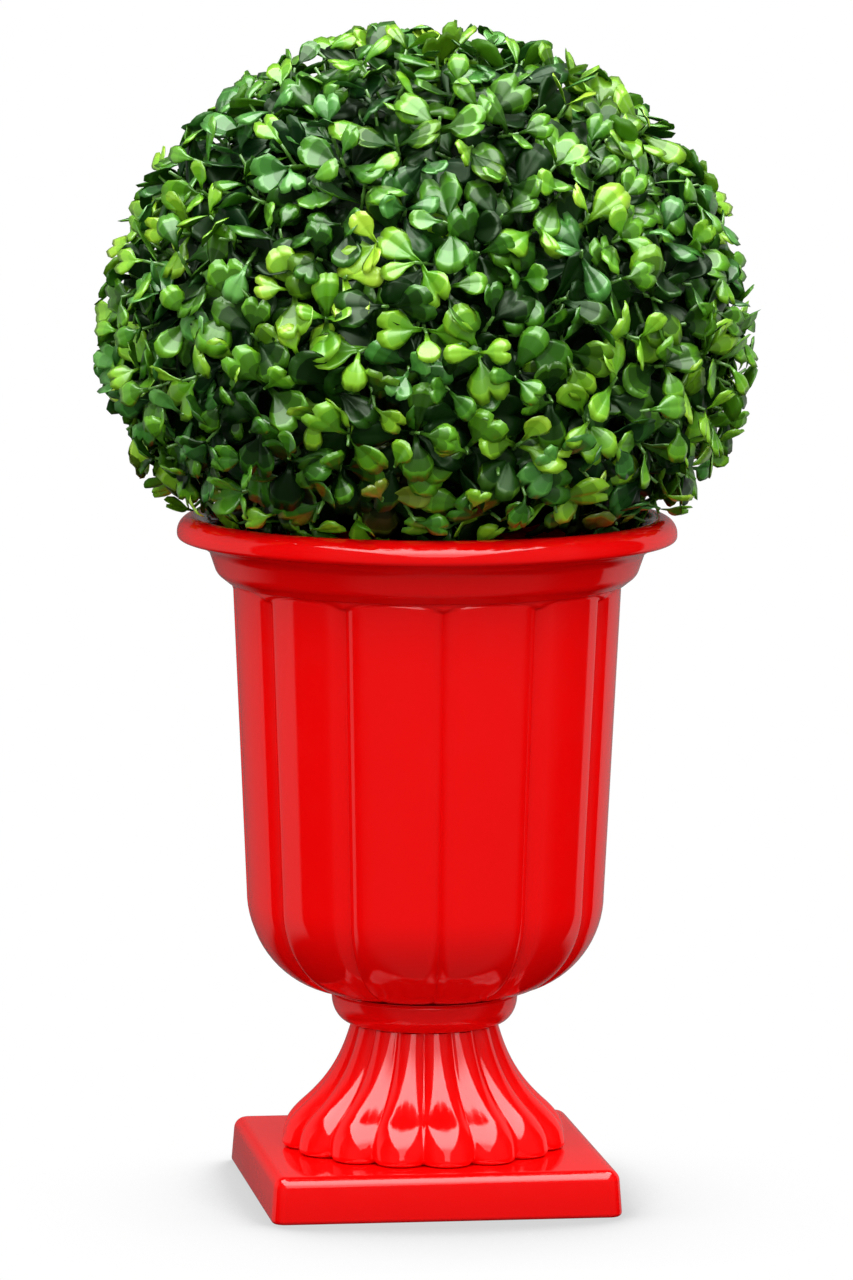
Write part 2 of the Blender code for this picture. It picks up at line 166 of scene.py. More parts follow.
# The sprays: a main twig out of the core, forked into shoots that end in crossed leaf pairs.
SEED = 11
SPRAYS = 115
SHOOTS = 570
LOWEST_SPRAY = -0.66
SPRAY_TILT = 12.0
SHOOT_TILT = 34.0
TWIG_RADIUS = 0.0009
TWIG_TIP_RADIUS = 0.0007
TWIG_SIDES = 6
TWIG_KNOTS = (0.50, 0.74)
TWIG_KNOT_HALF = 0.05
TWIG_KNOT_GIRTH = 1.45
MAIN_TWIG_GIRTH = 1.5
SHOOT_GIRTHS = (1.1, 1.0)
TWIG_ROOT_DEPTH = 0.0060
FORK_HEIGHT = 0.30
SHOOT_DEPTHS = (0.0060, 0.0150)
SHOOT_PLAY = 0.0040
SHOOT_LEAN = 0.35

# Leaf pairs of a shoot, from its tip down: distance from the tip, opening, size. Tones are
# steps in a family's greens, by pair, shoot and leaf. The pairs' tones make the young tip
# pairs paler and paint shade on the inner pairs, which are much darker.
LEAF_PAIRS = (
    (0.0000, 44.0, 0.66),
    (0.0070, 68.0, 0.95),
    (0.0155, 82.0, 1.00),
    (0.0235, 92.0, 0.92),
)
PAIR_TINTS_AND_SHADE = (5, 2, -7, -12)
SHOOT_TONES = (-5, -3, -1, 0, 1, 4)
LEAF_TONE_PLAY = (-1, 0, 0, 1)
OPENING_PLAY = 14.0
LEAF_SWING = 0.30
LEAF_ROLL = 30.0
LEAF_SHRINK = 0.18
LEAF_LENGTH = 0.0280
LEAF_THICKNESS = 0.040
LEAF_STALK = 0.036
LEAF_STALK_END = 0.22
LEAF_BASE_POWER = 0.85
LEAF_LOBE_HEIGHT = 0.85
LEAF_STATIONS = (0.0, 0.38, 0.61, 0.83, 1.0)
LEAF_SPREADS = (0.0, 0.17, 0.50, 0.84, 1.0)
# Row tones rise from root to tip. The margin's extra tones are partly a paler lime rim and partly
# painted glow of light through the thin edge.
LEAF_ROW_TONES = (3, 3, 5, 8)
LEAF_MARGIN_TONES = 2
LEAF_TRIES = 7
LEAF_ROOM = 0.0008
PROXY_SCALE = 0.80
PROXY_THICKNESS = 0.06
PROXY_START = 0.12
PROXY_MIDDLE = 0.60
NEIGHBOUR_CELL = 0.040

# The kinds of leaf: name, half width over length, how far the tip parts into two lobes, share.
LEAF_KINDS = (
    ("heart", 0.390, 0.52, 0.48),
    ("spoon", 0.335, 0.12, 0.38),
    ("slim", 0.260, 0.00, 0.14),
)
# The bends each kind comes in: fold at the midrib, puffed lobes, raised margin, curl along.
LEAF_BENDS = (
    (0.04, 0.16, -0.22, 0.25),
    (0.02, 0.06, 0.34, -0.30),
    (0.16, 0.12, 0.00, 0.15),
    (0.00, 0.14, -0.36, 0.60),
)

# Leaf greens: deep root, blade, and a paler tip that is partly the leaves' own lime and partly
# painted glow of light shining through them, and each family's share of the sprays.
LEAF_GREENS = {
    "deep": ((0.002, 0.013, 0.001), (0.048, 0.215, 0.007), (0.115, 0.350, 0.012), 0.28),
    "fresh": ((0.003, 0.022, 0.001), (0.112, 0.370, 0.008), (0.250, 0.560, 0.018), 0.37),
    "lime": ((0.008, 0.045, 0.002), (0.215, 0.510, 0.012), (0.420, 0.700, 0.035), 0.16),
    "cool": ((0.002, 0.020, 0.003), (0.060, 0.255, 0.032), (0.125, 0.390, 0.060), 0.165),
    "bronze": ((0.010, 0.014, 0.002), (0.130, 0.190, 0.010), (0.215, 0.300, 0.016), 0.09),
}
BRONZE_TOP = -0.34
LEAF_TONES = 16
TIP_TONE = 9
LEAF_TONE_POWER = 1.7
BACK_SHARE = 0.45
LEAF_SHEEN = (0.72, 1.00, 0.62)
LEAF_SPECULAR = 0.28
LEAF_ROUGHNESS = 0.38
LEAF_IOR = 1.50
LEAF_COATS = (0.06, 1.00)
LEAF_COAT_ROUGHNESS = 0.24
LEAF_COAT_IOR = 1.60
TWIG_GREEN = (0.100, 0.260, 0.035)
TWIG_ROUGHNESS = 0.34

# The other finishes: two colours, patterns (scale, detail, roughness), shares and strengths.
RED_PLASTIC = ((0.82, 0.0012, 0.0014), (0.87, 0.0020, 0.0022))
RED_CLOUD = (14.0, 3.0, 0.5)
RED_HAZE = (90.0, 4.0, 0.6)
RED_HAZE_EDGES = (0.35, 0.75)
RED_PEEL = (520.0, 2.0, 0.5)
RED_PEEL_SHARE = 0.06
RED_WAVE = (26.0, 1.0, 0.5)
RED_ROUGHNESS = (0.060, 0.050)
RED_BUMP = (0.10, 0.0006)
RED_IOR = 1.54
# The core's near-black greens are painted shade: the dark of the deep gaps inside the ball.
CORE_SHADE_GREENS = ((0.002, 0.005, 0.001), (0.007, 0.020, 0.004))
CORE_MOTTLE = (120.0, 5.0, 0.65)
CORE_ROUGHNESS = (0.75, 0.20)
CORE_SPECULAR = 0.08
CORE_BUMP = (0.6, 0.002)
FILL_BROWNS = ((0.010, 0.007, 0.004), (0.075, 0.050, 0.028))
FILL_GRAIN = (420.0, 6.0, 0.7)
FILL_GRAIN_EDGES = (0.35, 0.75)
FILL_CLOD = (70.0, 3.0, 0.5)
FILL_CLOD_SHARE = 0.6
FILL_ROUGHNESS = (0.85, 0.10)
FILL_BUMP = (0.8, 0.0015)
BARK_BROWNS = ((0.022, 0.012, 0.007), (0.130, 0.078, 0.042))
BARK_STRETCH = (1.0, 1.0, 0.12)
BARK_FURROW = (420.0, 4.0, 0.6)
BARK_FURROW_EDGES = (0.3, 0.7)
BARK_FLECK = (900.0, 2.0, 0.5)
BARK_FLECK_SHARE = 0.2
BARK_ROUGHNESS = (0.72, 0.20)
BARK_BUMP = (0.7, 0.0008)

# The camera. The lamps, the room and its walls are placed by the camera's turn.
CAMERA_TARGET = (0.0, 0.0, 0.2507)
CAMERA_TURN = -8.4
CAMERA_RISE = 7.1
CAMERA_DISTANCE = 3.42
CAMERA_LENS = 213.75
CAMERA_SENSOR = 36.0
CAMERA_ROLL = 0.33
CAMERA_REACH = 200.0
LAMP_TURN = CAMERA_TURN + 5.0
LAMP_HEIGHT = 2.6
LAMP_HALF_WIDTH = 1.90
LAMP_FRONT = 12.0
LAMP_BACK = 0.9
LAMP_FADE = (2.0, 5.5)
LAMP_FAR = 0.35
LAMP_STRENGTH = 3.5
SHEEN_STRENGTH = 6.0
SKY_STRENGTH = 0.83
FILL_STRENGTH = 0.30
SIDE_STRENGTH = 0.50
ROOM_TURN = CAMERA_TURN + 15.0
ROOM_STRENGTH = 0.10
ROOM_EDGES = (0.20, 0.70)
WALL_SIDE_STRENGTH = 0.46
WALL_BACK_STRENGTH = 0.12
WALL_EDGES = (-0.25, -0.21)
WALL_SIDE_POWER = 0.5
WALL_HEIGHTS = (-0.55, -0.38, 0.45, 0.75)
WHITE = (1.0, 1.0, 1.0)
FLOOR_RADIUS = 1.4
FLOOR_SEGMENTS = 96
FLOOR_GLOW = 1.0
FLOOR_SHADE = 1.60
FLOOR_SHADE_POWER = 1.4
FLOOR_SHADE_REACH = 0.11
FLOOR_SHADE_LEAN = 0.45
FLOOR_SHADE_MOST = 0.33
FLOOR_SHADE_SAMPLES = 16
FLOOR_BOUNCE = 0.18


# ---- shaders


class Value:
    """A socket of a shader. Python's operators on it add Math nodes."""

    def __init__(self, shading, socket):
        self.shading = shading
        self.socket = socket

    def maths(self, operation, *values):
        """A Math node on some values."""
        settings = {"operation": operation}
        return self.shading.node("ShaderNodeMath", settings, dict(enumerate(values)))

    def __add__(self, other):
        return self.maths("ADD", self, other)

    def __radd__(self, other):
        return self.maths("ADD", other, self)

    def __sub__(self, other):
        return self.maths("SUBTRACT", self, other)

    def __rsub__(self, other):
        return self.maths("SUBTRACT", other, self)

    def __mul__(self, other):
        return self.maths("MULTIPLY", self, other)

    def __rmul__(self, other):
        return self.maths("MULTIPLY", other, self)

    def __truediv__(self, other):
        return self.maths("DIVIDE", self, other)

    def __pow__(self, other):
        return self.maths("POWER", self, other)

    def at_most(self, limit):
        """This value up to a limit."""
        return self.maths("MINIMUM", self, limit)

    def ramp(self, start, end):
        """0 before start, 1 past end, and a smooth step between them."""
        settings = {"interpolation_type": "SMOOTHSTEP"}
        inputs = {"Value": self, "From Min": start, "From Max": end}
        return self.shading.node("ShaderNodeMapRange", settings, inputs)


class Shading:
    """The node tree of one material or world."""

    def __init__(self, owner):
        owner.use_nodes = True
        self.owner = owner
        self.tree = owner.node_tree
        self.tree.nodes.clear()

    def node(self, kind, settings=None, inputs=None, output=0):
        """Adds a node: its settings first, then its sockets' values or links."""
        node = self.tree.nodes.new(kind)
        for name, value in (settings or {}).items():
            setattr(node, name, value)
        for name, value in (inputs or {}).items():
            if isinstance(value, Value):
                self.tree.links.new(value.socket, node.inputs[name])
            else:
                node.inputs[name].default_value = value
        return Value(self, node.outputs[output]) if node.outputs else node

    def place(self, scale=(1.0, 1.0, 1.0)):
        """Object coordinates, stretched by a scale."""
        place = self.node("ShaderNodeTexCoord", output="Object")
        return self.node("ShaderNodeMapping", inputs={"Vector": place, "Scale": scale})

    def noise(self, place, scale, detail, roughness):
        """A soft pattern from 0 to 1."""
        inputs = {"Vector": place, "Scale": scale, "Detail": detail, "Roughness": roughness}
        return self.node("ShaderNodeTexNoise", {"noise_dimensions": "3D"}, inputs)

    def vector(self, operation, *values, output="Vector"):
        """A Vector Math node on some vectors."""
        inputs = dict(enumerate(values))
        return self.node("ShaderNodeVectorMath", {"operation": operation}, inputs, output)

    def part(self, vector, axis):
        """One part of a vector: X, Y or Z."""
        return self.node("ShaderNodeSeparateXYZ", inputs={"Vector": vector}, output=axis)

    def mix(self, factor, first, second):
        """One colour that turns into another."""
        inputs = {0: factor, 6: (*first, 1.0), 7: (*second, 1.0)}
        return self.node("ShaderNodeMix", {"data_type": "RGBA"}, inputs, output=2)

    def bump(self, height, strength, distance):
        """A normal that a height pattern tilts."""
        inputs = {"Height": height, "Strength": strength, "Distance": distance}
        return self.node("ShaderNodeBump", inputs=inputs)

    def finish(self, inputs, kind="ShaderNodeBsdfPrincipled", output="ShaderNodeOutputMaterial"):
        """Adds the shader and the output, and returns the finished material or world."""
        self.node(output, inputs={"Surface": self.node(kind, inputs=inputs)})
        return self.owner


def surface(name):
    """The empty node tree of a new material."""
    return Shading(bpy.data.materials.new(name))


def plastic_red():
    """Glossy moulded plastic: even red, with a faint haze and a very fine orange peel."""
    shading = surface("urn red plastic")
    place = shading.place()
    cloud = shading.noise(place, *RED_CLOUD)
    haze = shading.noise(place, *RED_HAZE)
    peel = shading.noise(place, *RED_PEEL)
    wave = shading.noise(place, *RED_WAVE)
    return shading.finish({
        "Base Color": shading.mix(cloud, *RED_PLASTIC),
        "Roughness": RED_ROUGHNESS[0] + RED_ROUGHNESS[1] * haze.ramp(*RED_HAZE_EDGES),
        "IOR": RED_IOR,
        "Normal": shading.bump(wave + RED_PEEL_SHARE * peel, *RED_BUMP),
    })


def leaf_finish(name, colour, coat, roughness=LEAF_ROUGHNESS):
    """Smooth moulded leaf plastic of one plain green, with a clear waxy coat."""
    return surface(name).finish({
        "Base Color": (*colour, 1.0),
        "Roughness": roughness,
        "IOR": LEAF_IOR,
        "Specular IOR Level": LEAF_SPECULAR,
        "Specular Tint": (*LEAF_SHEEN, 1.0),
        "Coat Weight": coat,
        "Coat Roughness": LEAF_COAT_ROUGHNESS,
        "Coat IOR": LEAF_COAT_IOR,
    })


def blend(first, second, share):
    """A plain colour between two others."""
    return tuple(a + (b - a) * share for a, b in zip(first, second))


def leaf_green(family, tone):
    """A family's green at a tone: from the root's to the blade's, then on to the tip's."""
    dark, light, tip, _ = LEAF_GREENS[family]
    if tone < TIP_TONE:
        return blend(dark, light, (tone / TIP_TONE) ** LEAF_TONE_POWER)
    return blend(light, tip, (tone - TIP_TONE) / (LEAF_TONES - 1 - TIP_TONE))


def leaf_palette(family):
    """The slots of one family of leaves: its tones, duller the darker they are, then the back."""
    dark, light, _, _ = LEAF_GREENS[family]
    dull, waxy = LEAF_COATS
    palette = []
    for tone in range(LEAF_TONES):
        coat = dull + (waxy - dull) * min(tone / TIP_TONE, 1.0)
        palette.append(leaf_finish(f"leaf {family} {tone + 1}", leaf_green(family, tone), coat))
    back = blend(dark, light, BACK_SHARE)
    return palette + [leaf_finish(f"leaf {family} {LEAF_TONES + 1}", back, dull)]


def shaded_core_finish():
    """The near-black green inside the ball, painted shade for the deep gaps between the leaves."""
    shading = surface("crown core shade")
    mottle = shading.noise(shading.place(), *CORE_MOTTLE)
    return shading.finish({
        "Base Color": shading.mix(mottle, *CORE_SHADE_GREENS),
        "Roughness": CORE_ROUGHNESS[0] + CORE_ROUGHNESS[1] * mottle,
        "Specular IOR Level": CORE_SPECULAR,
        "Normal": shading.bump(mottle, *CORE_BUMP),
    })


def filling_finish():
    """Crumbly dark filler with lighter grains."""
    shading = surface("pot filling")
    place = shading.place()
    grain = shading.noise(place, *FILL_GRAIN)
    clod = shading.noise(place, *FILL_CLOD)
    return shading.finish({
        "Base Color": shading.mix(grain.ramp(*FILL_GRAIN_EDGES), *FILL_BROWNS),
        "Roughness": FILL_ROUGHNESS[0] + FILL_ROUGHNESS[1] * grain,
        "Normal": shading.bump(grain + FILL_CLOD_SHARE * clod, *FILL_BUMP),
    })


def bark_finish():
    """Brown bark, darker in its long furrows."""
    shading = surface("stem bark")
    furrow = shading.noise(shading.place(BARK_STRETCH), *BARK_FURROW)
    fleck = shading.noise(shading.place(), *BARK_FLECK)
    return shading.finish({
        "Base Color": shading.mix(furrow.ramp(*BARK_FURROW_EDGES), *BARK_BROWNS),
        "Roughness": BARK_ROUGHNESS[0] + BARK_ROUGHNESS[1] * fleck,
        "Normal": shading.bump(furrow + BARK_FLECK_SHARE * fleck, *BARK_BUMP),
    })


# ---- making pieces


def linked(name, data):
    """A new object in the scene, at the origin."""
    item = bpy.data.objects.new(name, data)
    bpy.context.scene.collection.objects.link(item)
    return item


def add_piece(name, mesh, node, slot):
    """Links a finished mesh as a piece that stands for a node of the model."""
    item = linked(name, mesh)
    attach(item, BODY)
    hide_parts(node)


def mesh_of(name, shape, material):
    """A bmesh as a mesh with one material. The bmesh is freed."""
    mesh = bpy.data.meshes.new(name)
    shape.to_mesh(mesh)
    shape.free()
    mesh.materials.append(material)
    return mesh


def add_shape(name, shape, material, node, slot, sharp_angle=None):
    """Adds a closed bmesh as a smooth piece, with sharp edges past an angle if one is given."""
    bmesh.ops.recalc_face_normals(shape, faces=shape.faces)
    mesh = mesh_of(name, shape, material)
    mesh.shade_smooth()
    if sharp_angle:
        mesh.set_sharp_from_angle(angle=math.radians(sharp_angle))
    add_piece(name, mesh, node, slot)


def levels(start, end, steps):
    """Even steps from one number to another, both included."""
    return [start + (end - start) * step / steps for step in range(steps + 1)]


def arc(centre_radius, centre_height, radius, start, end, steps):
    """Points of a round stretch of a profile, from one angle to another."""
    angles = [math.radians(angle) for angle in levels(start, end, steps)]
    return [
        (centre_radius + radius * math.cos(angle), centre_height + radius * math.sin(angle))
        for angle in angles
    ]


def run(start, end, steps):
    """Points of a straight stretch of a profile."""
    return list(zip(levels(start[0], end[0], steps), levels(start[1], end[1], steps)))


def swivel(shape, degrees):
    """Turns a shape round +Z."""
    turn = Matrix.Rotation(math.radians(degrees), 3, "Z")
    bmesh.ops.rotate(shape, cent=(0.0, 0.0, 0.0), matrix=turn, verts=shape.verts)


def turned(profile, segments):
    """Spins a profile of (radius, height) points a full turn round +Z."""
    shape = bmesh.new()
    points = [shape.verts.new((radius, 0.0, height)) for radius, height in profile]
    edges = [shape.edges.new(pair) for pair in zip(points, points[1:])]
    bmesh.ops.spin(
        shape, geom=points + edges, cent=(0.0, 0.0, 0.0), axis=(0.0, 0.0, 1.0),
        angle=2.0 * math.pi, steps=segments, use_merge=True,
    )
    bmesh.ops.remove_doubles(shape, verts=shape.verts, dist=MERGE_DISTANCE)
    return shape


def flute(shape, count, turn, relief):
    """Presses lobes into a turned shape, then turns its first groove to its place.

    relief(across, radius, height) gives how far a point sinks, where across runs from -1 in
    one groove over 0 on the lobe's crown to 1 in the next groove.
    """
    lobe_angle = 2.0 * math.pi / count
    for vertex in shape.verts:
        radius = vertex.co.xy.length
        if radius < MERGE_DISTANCE:
            continue
        angle = math.atan2(vertex.co.y, vertex.co.x) % (2.0 * math.pi)
        lobe = math.floor(angle / lobe_angle + MERGE_DISTANCE)
        across = 2.0 * (angle / lobe_angle - lobe) - 1.0
        across = math.sin(0.5 * math.pi * across)
        angle = lobe_angle * (lobe + 0.5 + 0.5 * across)
        radius -= relief(across, radius, vertex.co.z)
        vertex.co.x = radius * math.cos(angle)
        vertex.co.y = radius * math.sin(angle)
    swivel(shape, turn - 90.0)


# ---- the urn


def rounded(shape, edges, radius, segments):
    """Rounds some edges of a shape."""
    bmesh.ops.bevel(
        shape, geom=edges, offset=radius, offset_type="OFFSET", affect="EDGES",
        segments=segments, profile=0.5, material=-1,
    )


def level_edges(shape, height):
    """The edges that lie level at a height."""
    return [
        edge for edge in shape.edges
        if all(abs(vertex.co.z - height) < MERGE_DISTANCE for vertex in edge.verts)
    ]


def make_plinth(material):
    """A square slab with drafted sides, round corners and a rolled top edge."""
    shape = bmesh.new()
    bmesh.ops.create_cube(shape, size=1.0)
    for vertex in shape.verts:
        side = PLINTH_TOP_SIDE if vertex.co.z > 0.0 else PLINTH_SIDE
        vertex.co.x *= side
        vertex.co.y *= side
        vertex.co.z = PLINTH_HEIGHT if vertex.co.z > 0.0 else 0.0
    corners = [
        edge for edge in shape.edges
        if abs(edge.verts[0].co.z - edge.verts[1].co.z) > MERGE_DISTANCE
    ]
    rounded(shape, corners, PLINTH_CORNER_RADIUS, PLINTH_CORNER_STEPS)
    rounded(shape, level_edges(shape, PLINTH_HEIGHT), PLINTH_EDGE_RADIUS, PLINTH_EDGE_STEPS)
    rounded(shape, level_edges(shape, 0.0), PLINTH_FOOT_RADIUS, PLINTH_FOOT_STEPS)
    add_shape("planter_plinth", shape, material, "urn_plinth", "urn_plastic", PLINTH_SHARP_ANGLE)


def foot_line(height):
    """The lobes' crown line: a cone that flares out to the shoulder, and a bulb below it."""
    if height > FOOT_SHOULDER:
        fall = (FOOT_TOP - height) / (FOOT_TOP - FOOT_SHOULDER)
        flare = FOOT_SHOULDER_RADIUS - FOOT_TOP_RADIUS - FOOT_CONE_SPREAD
        return FOOT_TOP_RADIUS + FOOT_CONE_SPREAD * fall + flare * fall ** FOOT_FLARE_POWER
    rise = (height - PLINTH_HEIGHT) / (FOOT_SHOULDER - PLINTH_HEIGHT)
    spread = FOOT_BASE_RADIUS - FOOT_SHOULDER_RADIUS
    return FOOT_SHOULDER_RADIUS + spread * (1.0 - max(rise, 0.0) ** FOOT_BULB_POWER)


def foot_radius(height):
    """The crown line with its shoulder eased over a few millimetres."""
    room = min(FOOT_EASE, height - PLINTH_HEIGHT, FOOT_TOP - height)
    steps = levels(-1.0, 1.0, FOOT_EASE_STEPS)
    return sum(foot_line(height + room * step) for step in steps) / len(steps)


def foot_relief(across, radius, height):
    """Grooves between the lobes, deeper towards the base, where the lobes end round."""
    fall = (FOOT_TOP - height) / (FOOT_TOP - PLINTH_HEIGHT)
    groove = FOOT_GROOVE_TOP + (FOOT_GROOVE_BASE - FOOT_GROOVE_TOP) * fall
    toe = max(1.0 - (height - PLINTH_HEIGHT) / FOOT_TOE_HEIGHT, 0.0) ** 2
    valley = max(abs(across) - FOOT_VALLEY, 0.0)
    depth = groove * (across * across - valley * valley / (1.0 - FOOT_VALLEY))
    return depth + FOOT_TOE_DEPTH * toe * across ** 4


def make_foot(material):
    """The fluted foot, from the plinth up to the neck ring."""
    bottom = PLINTH_HEIGHT + CLEARANCE
    top = FOOT_TOP - CLEARANCE
    skirt = bottom + FOOT_SKIRT
    heights = levels(top, FOOT_SHOULDER, FOOT_FLARE_STEPS)[:-1]
    heights += levels(FOOT_SHOULDER, skirt, FOOT_BULB_STEPS)
    profile = [(0.0, top)]
    profile += [(foot_radius(height), height) for height in heights]
    middle = foot_radius(skirt) - FOOT_SKIRT
    profile += arc(middle, skirt, FOOT_SKIRT, FOOT_SKIRT_START, -90.0, FOOT_SKIRT_STEPS)
    profile += [(0.0, bottom)]
    shape = turned(profile, FOOT_LOBES * FOOT_TURN_STEPS)
    flute(shape, FOOT_LOBES, FOOT_TURN, foot_relief)
    add_shape("planter_foot", shape, material, "urn_foot", "urn_plastic", FOOT_SHARP_ANGLE)


def make_neck_ring(material):
    """The bead between foot and bowl, an upturned quarter of an ellipse with a round lip."""
    drop = RING_SHOULDER - FOOT_TOP
    reach = RING_RADIUS - RING_FOOT_RADIUS
    bead = [
        (RING_FOOT_RADIUS + reach * x, RING_SHOULDER + drop * y)
        for x, y in arc(0.0, 0.0, 1.0, 0.0, -90.0, RING_BEAD_STEPS)
    ]
    lip_radius = RING_RADIUS - RING_EDGE
    profile = [(0.0, RING_TOP), (lip_radius, RING_TOP)]
    profile += arc(lip_radius, RING_SHOULDER, RING_EDGE, 90.0, 0.0, RING_EDGE_STEPS)
    profile += bead[1:] + [(0.0, FOOT_TOP)]
    shape = turned(profile, RING_SEGMENTS)
    add_shape(
        "planter_neck_ring", shape, material, "urn_neck_ring", "urn_plastic", URN_SHARP_ANGLE
    )


def bowl_side_radius(height):
    """The outer radius of the bowl's nearly straight side."""
    low = BOWL_BOTTOM + BOWL_CORNER_RADIUS
    low_radius = BOWL_CORNER_CENTRE + BOWL_CORNER_RADIUS
    share = (height - low) / (BOWL_SHOULDER - low)
    return low_radius + (BOWL_SHOULDER_RADIUS - low_radius) * share


def bowl_relief(across, radius, height):
    """Convex panels with arched tops; the inside, collar and rim stay round."""
    corner_height = BOWL_BOTTOM + BOWL_CORNER_RADIUS
    corner_fall = max(corner_height - height, 0.0)
    reach = math.sqrt(max(BOWL_CORNER_RADIUS ** 2 - corner_fall ** 2, 0.0))
    skin = BOWL_CORNER_CENTRE + reach if corner_fall else bowl_side_radius(height)
    if height > BOWL_RECESS - MERGE_DISTANCE or radius < skin - 0.5 * BOWL_WALL:
        return 0.0
    edge = max(abs(across) - PANEL_GROOVE_START, 0.0) / (1.0 - PANEL_GROOVE_START)
    fluted = PANEL_BULGE * across * across + PANEL_GROOVE * edge * edge
    arch = PANEL_ARCH_TOP - PANEL_ARCH_DROP * abs(across) ** PANEL_ARCH_POWER
    over = min(abs(height - arch) / PANEL_ARCH_ROLL, 1.0)
    plain = fluted if height < arch else 0.0
    return plain + (PANEL_ARCH_GROOVE - plain) * (1.0 - over) ** 2


def collar_line():
    """The collar's profile: the run under it, its round lower corner and its flared band."""
    place = (COLLAR_CORNER_CENTRE, COLLAR_CORNER_HEIGHT, COLLAR_CORNER_RADIUS)
    corner = arc(*place, -COLLAR_UNDERCUT, -COLLAR_FLARE, COLLAR_CORNER_STEPS)
    low_radius, low_height = corner[0]
    top_radius, top_height = corner[-1]
    under = (low_height - BOWL_RECESS) * math.tan(math.radians(COLLAR_UNDERCUT))
    flare = (COLLAR_TOP - top_height) * math.tan(math.radians(COLLAR_FLARE))
    points = run((low_radius - under, BOWL_RECESS), corner[0], COLLAR_UNDER_STEPS)[:-1]
    points += corner
    return points + run(corner[-1], (top_radius + flare, COLLAR_TOP), COLLAR_SIDE_STEPS)[1:]


def rim_line():
    """The rim's profile: a squarish underside and a round roll over to the inside."""
    under = [
        (
            RIM_CENTRE_RADIUS + RIM_TUBE_RADIUS * abs(x) ** (2.0 / RIM_SQUARENESS),
            RIM_HEIGHT - RIM_DROP * abs(y) ** (2.0 / RIM_SQUARENESS),
        )
        for x, y in arc(0.0, 0.0, 1.0, -90.0, 0.0, RIM_LOW_STEPS)
    ]
    place = (RIM_CENTRE_RADIUS, RIM_HEIGHT, RIM_TUBE_RADIUS)
    return under + arc(*place, 0.0, RIM_ROLL_END, RIM_ROLL_STEPS)[1:]


def make_bowl(material):
    """The hollow bowl as one closed wall: outside, collar, rolled rim and inside."""
    corner = BOWL_BOTTOM + BOWL_CORNER_RADIUS
    arch_height = PANEL_ARCH_TOP - PANEL_ARCH_DROP - PANEL_ARCH_ROLL
    recess = BOWL_RECESS - 2.0 * MERGE_DISTANCE
    side = (BOWL_CORNER_CENTRE + BOWL_CORNER_RADIUS, corner)
    arch_foot = (bowl_side_radius(arch_height), arch_height)
    arch_head = (bowl_side_radius(BOWL_RECESS), recess)
    profile = [(0.0, BOWL_BOTTOM)]
    profile += arc(BOWL_CORNER_CENTRE, corner, BOWL_CORNER_RADIUS, -90.0, 0.0, BOWL_CORNER_STEPS)
    profile += run(side, arch_foot, BOWL_SIDE_STEPS)[1:]
    profile += run(arch_foot, arch_head, PANEL_ARCH_STEPS)[1:]
    profile += collar_line() + rim_line()
    profile += [(COLLAR_INNER_RADIUS, COLLAR_TOP), (BOWL_MOUTH_RADIUS, BOWL_RECESS - BOWL_WALL)]
    inner_radius = BOWL_CORNER_RADIUS - BOWL_WALL
    profile += arc(BOWL_CORNER_CENTRE, corner, inner_radius, 0.0, -90.0, BOWL_INNER_STEPS)
    profile += [(0.0, BOWL_BOTTOM + BOWL_WALL)]
    shape = turned(profile, BOWL_PANELS * PANEL_TURN_STEPS)
    flute(shape, BOWL_PANELS, BOWL_TURN, bowl_relief)
    add_shape("planter_bowl", shape, material, "urn_bowl", "urn_plastic", URN_SHARP_ANGLE)


def make_filling(material, rng):
    """The plug inside the bowl, with a domed and crumbly top."""
    corner = BOWL_BOTTOM + BOWL_CORNER_RADIUS
    floor = BOWL_BOTTOM + BOWL_WALL + CLEARANCE
    corner_radius = BOWL_CORNER_RADIUS - BOWL_WALL - CLEARANCE
    wall_top = BOWL_MOUTH_RADIUS - 2.0 * CLEARANCE
    profile = [(0.0, FILL_TOP)]
    for share in levels(0.0, 1.0, FILL_RINGS)[1:]:
        fall = (FILL_CROWN + BOWL_WALL) * share ** FILL_DOME_POWER
        profile.append((wall_top * share, FILL_TOP - fall))
    profile += arc(BOWL_CORNER_CENTRE, corner, corner_radius, 0.0, -90.0, FILL_CORNER_STEPS)
    profile += [(0.0, floor)]
    shape = turned(profile, FILL_SEGMENTS)
    low = FILL_TOP - FILL_CROWN - BOWL_WALL + CLEARANCE
    for vertex in shape.verts:
        if vertex.co.z > low and vertex.co.xy.length > STEM_RADIUS + STEM_FLARE:
            vertex.co.z -= FILL_LUMPS * rng.random()
    add_shape("planter_filling", shape, material, "pot_filling", "filling")


# ---- the stem


